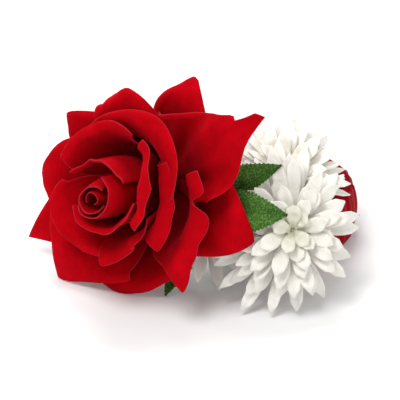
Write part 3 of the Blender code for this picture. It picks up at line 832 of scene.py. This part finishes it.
def build_band():
    inside = BAND_RADIUS - BAND_CROWN - COVER_EDGE  # inner side of the satin tube
    crown = []
    for i in range(CROWN_STEPS + 1):
        share = i / CROWN_STEPS
        rise = math.sin(math.pi * share)
        bulge = COVER_EDGE * min(1.0, rise * 4) ** 0.5
        crown.append((inside + bulge + BAND_CROWN * rise**0.8, BAND_HEIGHT * share))
    lip = inside - GAP - ELASTIC_THICK  # the cloth turns in over the edges of the elastic
    low, high = LIP_THICK, BAND_HEIGHT - LIP_THICK
    turned_in = (
        (lip, BAND_HEIGHT), (lip, high), (inside, high), (inside, low), (lip, low), (lip, 0.0)
    )
    cover = spaced([*crown, *turned_in], COVER_STEP)
    satin_cloth = satin()
    tube = band_piece("band_cover", cover, satin_cloth, satin_folds)
    outer = inside - GAP
    top = BAND_HEIGHT - ELASTIC_INSET
    section = rounded(outer - ELASTIC_THICK, outer, ELASTIC_INSET, top, ELASTIC_CORNER)
    band_piece("band_elastic", spaced(section, CLOTH_STEP), elastic_cloth())
    outer -= ELASTIC_THICK + GAP
    section = rounded(outer - LINING_THICK, outer, 0.0, BAND_HEIGHT, LINING_CORNER)
    band_piece("band_lining", spaced(section, CLOTH_STEP), satin_cloth, ruffle)


# ---------------------------------------------------------------- mums

MUM_HUB = 3.4  # radius where the petals leave the stem
PETAL_SIDES, PETAL_RINGS = 12, 8
PETAL_ARCH = 1.3  # how far a petal bends up along its length
PETAL_HOOK = 1.1  # how far its tip bends up again, against that
PETAL_CUP = 0.28  # how far its sides stand up, against half its width
UNDERSIDE = 0.8  # fullness below, against the fullness above
HUB_TAPER = 0.95  # how much closer to the axis the innermost petals start
NARROWEST = 0.35  # width of a petal without any length, against a full one
TESTED_HALF = 0.4  # half the width that is tested for room, against the whole width
PETAL_CLEAR = 1.1  # kept between a petal and what is not a mum
MUM_CLEAR = 0.7  # kept between the middle of a petal and another mum
FLOOR_CLEAR = 0.0007  # kept between a petal and the table, in metres
PROBES = 12  # steps along a petal at which the room for it is tested
FIRST_PROBE, FIRST_MUM_PROBE = 3, 6  # closer to its base, a petal may touch what is there
PETAL_MIN = 0.3  # shortest share of its full length
GROWTH_STEPS = 24
SHORTEST_KEPT = 0.4  # a petal with less room than this share of its length is left out
THINNED_LAYERS = 3  # in the outermost layers, every other petal of the short side is left out
SHORT_SIDE_EDGE = 0.3  # cosine of the angle up to which a petal belongs to the short side
LAYER_TURN = 2.4  # radians from one layer's first petal to the next one's
TABLE_CLEAR = 0.0015  # height of the tips of the petals that rest on the table, in metres
LEAST_BEND = math.radians(62)  # as far as the table pushes such a petal towards the axis
# Half the width of a mum petal along it, from its base to its tip
PETAL_OUTLINE = (
    (0.0, 0.30), (0.25, 0.52), (0.50, 0.86), (0.72, 1.0), (0.88, 0.84), (0.96, 0.56), (1.0, 0.12)
)


@dataclass
class Mum:
    """One mum in the layout's millimetres. Its petals are shorter towards one side."""

    centre: tuple
    axis: tuple
    turn: float
    layers: tuple
    seed: int
    short_side: float = 0.0  # degrees round the flower
    shorter: float = 0.0  # share of their length that petals lose there
    slender: float = 1.0


@dataclass
class Layer:
    """One round of petals: how many, how long, and their angle from the flower's axis."""

    count: int
    reach: float
    angle: float
    height: float
    width: float = 1.0


FULL_LAYERS = (
    Layer(20, 39.0, 99, -2.3, 0.88), Layer(19, 38.5, 92, -0.9, 0.90),
    Layer(17, 36.5, 85, 0.3, 0.95), Layer(14, 33.0, 78, 1.6), Layer(12, 29.0, 71, 3.0, 1.02),
    Layer(9, 25.5, 65, 4.2, 1.05), Layer(7, 22.0, 59, 5.2, 1.08), Layer(5, 19.0, 52, 6.0, 1.05),
    Layer(5, 8.5, 42, 5.4, 0.42), Layer(3, 6.0, 14, 5.2, 0.30),
)
MUMS = {
    "front": Mum((2.5, -53.5, 31.4), (0.09, -0.86, 0.50), 4, FULL_LAYERS, 11, -4, 0.24),
    "top": Mum((0, -30, 40.5), (0.15, -0.35, 0.92), 17, FULL_LAYERS, 12, -78, 0.40, 0.84),
    "behind": Mum((-32.5, -29.5, 32.5), (-0.05, -0.80, 0.60), 9, FULL_LAYERS[:7], 13),
}


class Shape(Paint):
    """A Geometry Nodes tree under construction, with the same arithmetic as a material."""

    def __init__(self, name):
        self.tree = bpy.data.node_groups.new(name, "GeometryNodeTree")
        self.tree.is_modifier = True

    def socket(self, name, way, kind):
        self.tree.interface.new_socket(name, in_out=way, socket_type="NodeSocket" + kind)

    def inputs(self, **kinds):
        """Named inputs, geometry first. Gives their values by name."""
        for name, kind in {"Geometry": "Geometry", **kinds}.items():
            self.socket(name, "INPUT", kind)
        entry = self.tree.nodes.new("NodeGroupInput")
        return {socket.name: Value(self, socket) for socket in entry.outputs if socket.name}

    def result(self, geometry):
        self.socket("Geometry", "OUTPUT", "Geometry")
        self.node("NodeGroupOutput", None, {0: geometry})
        return self.tree

    def mark(self, geometry, name, value):
        """Stores a value at each point under that name."""
        settings = {"data_type": "FLOAT", "domain": "POINT"}
        inputs = {"Geometry": geometry, "Name": name, "Value": value}
        return self.node("GeometryNodeStoreNamedAttribute", settings, inputs)

    def named(self, name):
        """The vector stored at each point under that name."""
        settings = {"data_type": "FLOAT_VECTOR"}
        return self.node("GeometryNodeInputNamedAttribute", settings, {"Name": name})


def petal_tree():
    """Plump canoe petals, one at each point: a closed tube drawn to a leaf shape and bent."""
    shape = Shape("mum petals")
    given = shape.inputs(
        Width="Float", Plumpness="Float", Channel="Float", Arch="Float", Sides="Int",
        Rings="Int", Cloth="Material",
    )
    tube = shape.node(
        "GeometryNodeMeshCylinder", {"fill_type": "NGON"},
        {"Vertices": given["Sides"], "Side Segments": given["Rings"], "Radius": 1.0, "Depth": 1.0},
    )
    position = {0: shape.node("GeometryNodeInputPosition")}
    x, y, z = (shape.node("ShaderNodeSeparateXYZ", None, position, k) for k in range(3))
    along = z + 0.5
    outline = shape.node("ShaderNodeFloatCurve", {"stops": PETAL_OUTLINE}, {"Value": along})
    half = given["Width"] * 0.5 * outline
    fullness = given["Plumpness"] * 0.5 * outline**0.6
    channel = (1 - x * x) ** 6.0 * given["Channel"] * outline * y.math("SIGN").math("MAXIMUM", 0.0)
    upper = y.math("MAXIMUM", 0.0) * fullness - channel
    lower = y.math("MINIMUM", 0.0) * fullness * UNDERSIDE
    cup = x * x * half * PETAL_CUP
    arch = (along * math.pi).math("SINE") * given["Arch"]
    hook = along**5.0 * given["Arch"] * PETAL_HOOK
    height = upper + lower + cup + arch + hook
    drawn = shape.node("ShaderNodeCombineXYZ", None, {0: along, 1: x * half, 2: height})
    petal = shape.node("GeometryNodeSetPosition", None, {"Geometry": tube, "Position": drawn})
    petal = shape.mark(shape.mark(petal, "along", along), "across", x)
    inputs = {"Geometry": petal, "Shade Smooth": True}
    petal = shape.node("GeometryNodeSetShadeSmooth", None, inputs)
    turn = shape.node("FunctionNodeEulerToRotation", None, {0: shape.named("turn")})
    size = shape.named("size")
    inputs = {"Points": given["Geometry"], "Instance": petal, "Rotation": turn, "Scale": size}
    petals = shape.node("GeometryNodeInstanceOnPoints", None, inputs)
    made = shape.node("GeometryNodeRealizeInstances", None, {"Geometry": petals})
    inputs = {"Geometry": made, "Material": given["Cloth"]}
    return shape.result(shape.node("GeometryNodeSetMaterial", None, inputs))


def mum_cloth():
    """White cloth, creamy and then yellow-green towards the base, threads along each petal, painted
    shade in their grooves.
    """
    settings = bpy.context.scene.corsage_mum
    paint = Paint("mum cloth")
    along, across, inner = map(paint.attribute, ("along", "across", "inner"))
    base = paint.blend(along.ramp(0.05, 0.50), settings.base, settings.cloth)
    cream = paint.blend(inner * 0.5, settings.cloth, (0.78, 0.75, 0.60))
    base = paint.blend(along.ramp(0.1, 0.8), base, cream)
    middle = inner.ramp(0.60, 1.0) * (1 - along).ramp(0.15, 0.9)
    base = paint.blend(middle * 0.8, base, settings.heart)
    stains = paint.noise(180, 3.0).ramp(0.45, 0.8)
    base = paint.blend(stains * 0.12, base, (0.62, 0.60, 0.52))
    lines = (across * 17.0 + paint.noise(500, 2.0) * 2.0).math("SINE")
    threads = paint.noise(1900, 2.0)
    # Painted shade: the grooves between the threads are darkened.
    base = paint.blend((1 - lines.ramp(-1.0, -0.2)) * 0.17, base, (0.60, 0.57, 0.48))
    height = lines * 0.6 + threads * 0.4
    return paint.finish(base, 0.68, (height, 0.0004, 0.8), Specular_IOR_Level=0.3)


def surface_tree(pieces):
    """One tree of the surfaces of finished pieces, for finding what is near a point."""
    points, faces = [], []
    for piece in pieces:
        first = len(points)
        points += [vertex.co.copy() for vertex in piece.data.vertices]
        faces += [[first + k for k in polygon.vertices] for polygon in piece.data.polygons]
    return BVHTree.FromPolygons(points, faces)


def has_room(base, run, side, others, mums):
    """Whether a petal of that length and half width keeps clear of its neighbours and the floor."""
    for step in range(FIRST_PROBE, PROBES + 1):
        at = base + run * (step / PROBES)
        edge = side * (1.0 if step < PROBES - 1 else 0.5)
        if (at - abs(edge.z) * Vector((0, 0, 1))).z < FLOOR_CLEAR:
            return False
        for point in (at, at + edge, at - edge):
            if others.find_nearest(point, PETAL_CLEAR * MM)[0] is not None:
                return False
        if mums and step >= FIRST_MUM_PROBE:
            if mums.find_nearest(at, MUM_CLEAR * MM)[0] is not None:
                return False
    return True


def clear_length(base, run, side, full, others, mums):
    """Longest length of a petal in metres for which there is room."""
    share = 1.0
    while share > PETAL_MIN:
        reach = full * share
        if has_room(base, run * reach, side, others, mums):
            return reach
        share -= (1 - PETAL_MIN) / GROWTH_STEPS
    return full * PETAL_MIN


def petal_points(mum, others, mums):
    """Where each petal starts, how it is turned and its size, kept clear of the neighbours."""
    settings = bpy.context.scene.corsage_mum
    flower = flower_frame(mum.centre, mum.axis)
    turned = flower.to_3x3()
    axis = turned.col[2]
    rng = np.random.default_rng(mum.seed)
    last = len(FULL_LAYERS) - 1
    starts, turns, sizes, inner = [], [], [], []
    for number, layer in enumerate(mum.layers):
        hub = MUM_HUB * (1 - HUB_TAPER * number / last)
        width = settings.width * layer.width * mum.slender
        for k in range(layer.count):
            turn = math.radians(mum.turn) + LAYER_TURN * number + 2 * math.pi * k / layer.count
            turn += rng.uniform(-0.25, 0.25) * 2 * math.pi / layer.count
            tilt = math.radians(layer.angle + rng.uniform(-5, 5))
            twist = rng.uniform(-0.32, 0.32)
            cos, sin = math.cos(turn), math.sin(turn)
            radial = turned @ Vector((cos, sin, 0))
            short = math.cos(turn - math.radians(mum.short_side))
            longest = layer.reach - MUM_HUB
            full = longest * (1 - mum.shorter * ((1 + short) / 2) ** 2)
            full *= rng.uniform(0.80, 1.04) * MM
            start = placed(flower @ Vector((hub * cos, hub * sin, layer.height)))
            run = radial * math.sin(tilt) + axis * math.cos(tilt)
            while tilt > LEAST_BEND and start.z + run.z * full <= TABLE_CLEAR:
                tilt -= math.radians(1)
                run = radial * math.sin(tilt) + axis * math.cos(tilt)
            up = axis * math.sin(tilt) - radial * math.cos(tilt)
            side = up.cross(run)
            cos, sin = math.cos(twist), math.sin(twist)
            side, up = side * cos + up * sin, up * cos - side * sin
            reach = clear_length(start, run, side * width * TESTED_HALF, full, others, mums)
            wide = layer.width * mum.slender * (NARROWEST + (1 - NARROWEST) * reach / full)
            wide *= rng.uniform(0.92, 1.08)
            plump = wide * rng.uniform(0.85, 1.15)
            if mum.shorter and number < THINNED_LAYERS and k % 2 and short > SHORT_SIDE_EDGE:
                continue
            if reach < SHORTEST_KEPT * longest * MM:
                continue
            starts.append(start)
            turns.append(Matrix((run, side, up)).transposed().to_euler())
            sizes.append((reach, wide, plump))
            inner.append(number / last)
    return starts, turns, sizes, inner


def build_mums():
    settings = bpy.context.scene.corsage_mum
    tree, cloth = petal_tree(), mum_cloth()
    built = [piece for piece in bpy.context.scene.objects if "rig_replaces" in piece]
    others = surface_tree([p for p in built if p.name.startswith(("rose", "leaf", "band"))])
    done = []
    for name, mum in MUMS.items():
        mums = surface_tree(done) if done else None
        starts, turns, sizes, inner = petal_points(mum, others, mums)
        piece_name = f"mum_{name}_flower"
        mesh = bpy.data.meshes.new(piece_name)
        mesh.from_pydata(starts, [], [])
        for mark, rows in (("turn", turns), ("size", sizes)):
            values = [value for row in rows for value in row]
            mesh.attributes.new(mark, "FLOAT_VECTOR", "POINT").data.foreach_set("vector", values)
        mesh.attributes.new("inner", "FLOAT", "POINT").data.foreach_set("value", inner)
        piece = linked(piece_name, mesh)
        modifier = piece.modifiers.new("petals", "NODES")
        modifier.node_group = tree
        values = {
            "Width": settings.width, "Plumpness": settings.plump, "Channel": settings.channel,
            "Arch": PETAL_ARCH * MM, "Sides": PETAL_SIDES, "Rings": PETAL_RINGS, "Cloth": cloth,
        }
        for item in tree.interface.items_tree:
            if item.in_out == "INPUT" and item.name in values:
                modifier[item.identifier] = values[item.name]
        applied(piece)
        nodes = sorted(node for node in frame["nodes"] if node.startswith(f"mum_{name}_petals"))
        nodes += [node for node in frame["nodes"] if node == f"mum_{name}_heart"]
        joined_to_part(piece, nodes)
        done.append(piece)


# ---------------------------------------------------------------- stems, knot, plate and calyxes

SAME_POINT = 1e-6  # metres between points that are one
FLAT_ENOUGH = 0.35  # radians between two triangles that become one face
ANY_SHAPE = 3.1  # radians, so that the face may be of any shape
CALYX_GREEN = (0.075, 0.19, 0.035)
PLATE_WHITE = (0.72, 0.73, 0.71)
FOAM_RED = (0.16, 0.004, 0.006)


def refined(node, name, material, levels):
    """A smoother copy of a CAD node, which it replaces."""
    mesh = frame["nodes"][node].data.copy()
    fine = bmesh.new()
    fine.from_mesh(mesh)
    bmesh.ops.remove_doubles(fine, verts=fine.verts, dist=SAME_POINT)
    bmesh.ops.join_triangles(
        fine, faces=fine.faces, angle_face_threshold=FLAT_ENOUGH, angle_shape_threshold=ANY_SHAPE
    )
    fine.to_mesh(mesh)
    fine.free()
    mesh.materials.clear()
    mesh.materials.append(material)
    piece = linked(name, mesh)
    smooth = piece.modifiers.new("smooth", "SUBSURF")
    smooth.levels = smooth.render_levels = levels
    plain = applied(piece)
    plain.polygons.foreach_set("use_smooth", [True] * len(plain.polygons))
    plain.update()
    joined_to_part(piece, [node])


def floral_tape():
    """Crepe floral tape wound in slanting turns, fine creases along each."""
    settings = bpy.context.scene.corsage_binding
    paint = Paint("wound floral tape")
    pitch = 2 * math.pi / settings.tape_width
    place = paint.place()
    bands = {"wave_type": "BANDS", "bands_direction": "DIAGONAL", "wave_profile": "SAW"}
    inputs = {"Scale": pitch / 20, "Distortion": 2.5, "Detail": 2.0, "Detail Scale": 1.2}
    turns = paint.node("ShaderNodeTexWave", bands, {"Vector": place, **inputs}, "Fac")
    creases = paint.noise(1600, 3.0, place, (1.0, 1.0, 0.25))
    height = turns * 0.7 + creases * 0.3
    base = paint.tones(turns * 0.6 + creases * 0.5, settings.tape, 0.55)
    return paint.finish(base, 0.55, (height, 0.0005, 0.8), Specular_IOR_Level=0.4)


def felt():
    """Pressed felt: hairs in small clumps."""
    settings = bpy.context.scene.corsage_binding
    paint = Paint("green felt")
    hairs = paint.noise(1400, 4.0)
    base = paint.tones(hairs * 0.6 + paint.noise(300, 3.0) * 0.4, settings.felt, 0.5)
    return paint.finish(
        base, 0.95, (hairs, 0.0005, 0.8), Specular_IOR_Level=0.1, Sheen_Weight=0.25,
        Sheen_Roughness=0.5, Sheen_Tint=(0.6, 1.0, 0.5),
    )


def moulded(name, tone):
    """Moulded plastic with a faint grain and a slightly paler bloom."""
    paint = Paint(name)
    bloom = paint.noise(220, 3.0)
    grain = (paint.noise(2600, 2.0), 0.00006, 0.5)
    return paint.finish(paint.tones(bloom, tone, 0.8), bloom * 0.15 + 0.38, grain)


def build_binding():
    tape = floral_tape()
    green = moulded("green plastic", CALYX_GREEN)
    white = moulded("white plastic", PLATE_WHITE)
    red = moulded("red foam", FOAM_RED)
    refined("stem_binding", "binding_tape", tape, 3)
    flowers = ("rose", "mum_front", "mum_top", "mum_behind")
    stems = [f"{flower}_stem" for flower in flowers] + [f"leaf_{leaf}_stalk" for leaf in LEAVES]
    for node in stems:
        refined(node, node + "_tape", tape, 2)
    for node in [f"{flower}_calyx" for flower in flowers]:
        refined(node, node + "_cup", green, 2)
    refined("wrist_plate", "wrist_plate_disc", white, 2)
    refined("felt_pad", "felt_pad_cloth", felt(), 2)
    refined("rose_core", "rose_core_foam", red, 1)


# ---------------------------------------------------------------- stage

VIEW_TARGET = (1.4, -10.6, 33.5)
VIEW_ELEVATION = 30.0
SENSOR = 36  # width in millimetres
ROOM_LIGHT = 0.50  # strength of the white room, which is seen as 1
FLOOR_GLOW = 1.38  # strength of the plain floor that the camera sees away from the shadows
LEAST_PLAIN = 0.03  # share of the plain floor close to the corsage
FADE_START, FADE_END = 0.17, 0.42  # metres from the middle over which it grows to the whole
FLOOR_HALF = 3
LAMP_DISTANCE = 0.9
LAMPS = (
    ("key", (-0.50, -0.60, 1.40), 0.45, 4.9),
    ("fill", (1.0, -0.7, 0.4), 0.8, 1.9),
    ("top", (-0.1, 0.65, 1.1), 0.5, 4.4),
)


def build_floor(tint):
    """Pale floor that takes the shadows, and turns into a plain bright one away from them."""
    paint = Paint("pale floor")
    base = paint.tones(paint.noise(40, 2.0), tint, 0.985)
    lit = paint.node("ShaderNodeBsdfPrincipled", None, {"Base Color": base, "Roughness": 0.85})
    plain = paint.node("ShaderNodeEmission", None, {"Color": (1, 1, 1), "Strength": FLOOR_GLOW})
    camera, glossy, through = map(paint.rays, ("Camera", "Glossy", "Transmission"))
    length_of = {"operation": "LENGTH"}
    distance = paint.node("ShaderNodeVectorMath", length_of, {0: paint.place()}, output="Value")
    far = distance.ramp(FADE_START, FADE_END)
    seen = (camera + glossy + through) * (LEAST_PLAIN + far * (1 - LEAST_PLAIN))
    mixed = paint.node("ShaderNodeMixShader", None, {0: seen, 1: lit, 2: plain})
    paint.node("ShaderNodeOutputMaterial", None, {"Surface": mixed})
    mesh = bpy.data.meshes.new("floor")
    corners = [(-1, -1), (1, -1), (1, 1), (-1, 1)]
    mesh.from_pydata([(x * FLOOR_HALF, y * FLOOR_HALF, 0) for x, y in corners], [], [range(4)])
    mesh.materials.append(paint.owner)
    floor = linked("floor", mesh)


def build_room():
    """White room: bright where it is seen, dimmer where it only lights the corsage."""
    room = Paint("white room", "worlds")
    camera, through = map(room.rays, ("Camera", "Transmission"))
    level = room.node("ShaderNodeMapRange", None, {
        "Value": camera.math("MAXIMUM", through), "To Min": ROOM_LIGHT, "To Max": 1.0,
    })
    light = room.node("ShaderNodeBackground", None, {"Color": (1, 1, 1), "Strength": level})
    room.node("ShaderNodeOutputWorld", None, {"Surface": light})
    bpy.context.scene.world = room.owner


def build_stage():
    scene = bpy.context.scene
    settings = scene.corsage_stage
    build_floor(tuple(settings.floor))
    build_room()
    target = Vector(VIEW_TARGET) * MM
    for name, direction, size, power in LAMPS:
        lamp = linked(name, bpy.data.lights.new(name, "AREA"))
        lamp.data.shape = "DISK"
        lamp.data.size = size
        lamp.data.energy = power
        lamp.location = target + Vector(direction).normalized() * LAMP_DISTANCE
        lamp.rotation_euler = (target - lamp.location).to_track_quat("-Z", "Y").to_euler()
    camera = linked("camera", bpy.data.cameras.new("camera"))
    tilt = math.radians(VIEW_ELEVATION)
    back = Vector((0, -math.cos(tilt), math.sin(tilt)))
    camera.location = target + back * settings.distance
    camera.rotation_euler = (-back).to_track_quat("-Z", "Y").to_euler()
    camera.data.sensor_width = SENSOR
    camera.data.lens = SENSOR * settings.distance / settings.view_width
    camera.data.clip_start = 0.05
    scene.camera = camera
    scene.view_settings.view_transform = "Standard"


# ---------------------------------------------------------------- operators and panel


class CORSAGE_OT_rose(bpy.types.Operator):
    """Velvet rose: every petal as a rolled piece of cloth"""

    bl_idname = "corsage.rose"
    bl_label = "Rose"

    def execute(self, context):
        build_rose()
        return {"FINISHED"}


class CORSAGE_OT_leaves(bpy.types.Operator):
    """Woven leaves with toothed edges"""

    bl_idname = "corsage.leaves"
    bl_label = "Leaves"

    def execute(self, context):
        build_leaves()
        return {"FINISHED"}


class CORSAGE_OT_band(bpy.types.Operator):
    """Gathered satin tube, the elastic inside it and the lining against the wrist"""

    bl_idname = "corsage.band"
    bl_label = "Wrist band"

    def execute(self, context):
        build_band()
        return {"FINISHED"}


class CORSAGE_OT_mums(bpy.types.Operator):
    """Three white mums, each a head of plump petals that keep clear of their neighbours"""

    bl_idname = "corsage.mums"
    bl_label = "Mums"

    def execute(self, context):
        build_mums()
        return {"FINISHED"}


class CORSAGE_OT_binding(bpy.types.Operator):
    """Taped stems and knot, the plate, the felt pad and the green calyxes"""

    bl_idname = "corsage.binding"
    bl_label = "Binding"

    def execute(self, context):
        build_binding()
        return {"FINISHED"}


class CORSAGE_OT_stage(bpy.types.Operator):
    """Pale floor, soft lamps and the camera"""

    bl_idname = "corsage.stage"
    bl_label = "Stage"

    def execute(self, context):
        build_stage()
        return {"FINISHED"}


SETTINGS = {
    "corsage_rose": RoseSettings,
    "corsage_mum": MumSettings,
    "corsage_leaf": LeafSettings,
    "corsage_band": BandSettings,
    "corsage_binding": BindingSettings,
    "corsage_stage": StageSettings,
}
OPERATORS = (
    CORSAGE_OT_rose, CORSAGE_OT_leaves, CORSAGE_OT_band, CORSAGE_OT_mums, CORSAGE_OT_binding,
    CORSAGE_OT_stage,
)


class CORSAGE_PT_panel(bpy.types.Panel):
    """Corsage pieces, in the order they are built"""

    bl_idname = "CORSAGE_PT_panel"
    bl_label = "Wrist corsage"
    bl_space_type = "VIEW_3D"
    bl_region_type = "UI"
    bl_category = "Corsage"

    def draw(self, context):
        for name, group in SETTINGS.items():
            box = self.layout.box()
            for prop in group.__annotations__:
                box.prop(getattr(context.scene, name), prop)
        for operator in OPERATORS:
            self.layout.operator(operator.bl_idname)


def register():
    for name, group in SETTINGS.items():
        bpy.utils.register_class(group)
        setattr(bpy.types.Scene, name, bpy.props.PointerProperty(type=group))
    for item in (*OPERATORS, CORSAGE_PT_panel):
        bpy.utils.register_class(item)


def unregister():
    for item in (CORSAGE_PT_panel, *reversed(OPERATORS)):
        bpy.utils.unregister_class(item)
    for name, group in reversed(SETTINGS.items()):
        delattr(bpy.types.Scene, name)
        bpy.utils.unregister_class(group)


def main():
    register()
    for operator in OPERATORS:
        family, name = operator.bl_idname.split(".")
        getattr(getattr(bpy.ops, family), name)()


if __name__ == "__main__":
    main()
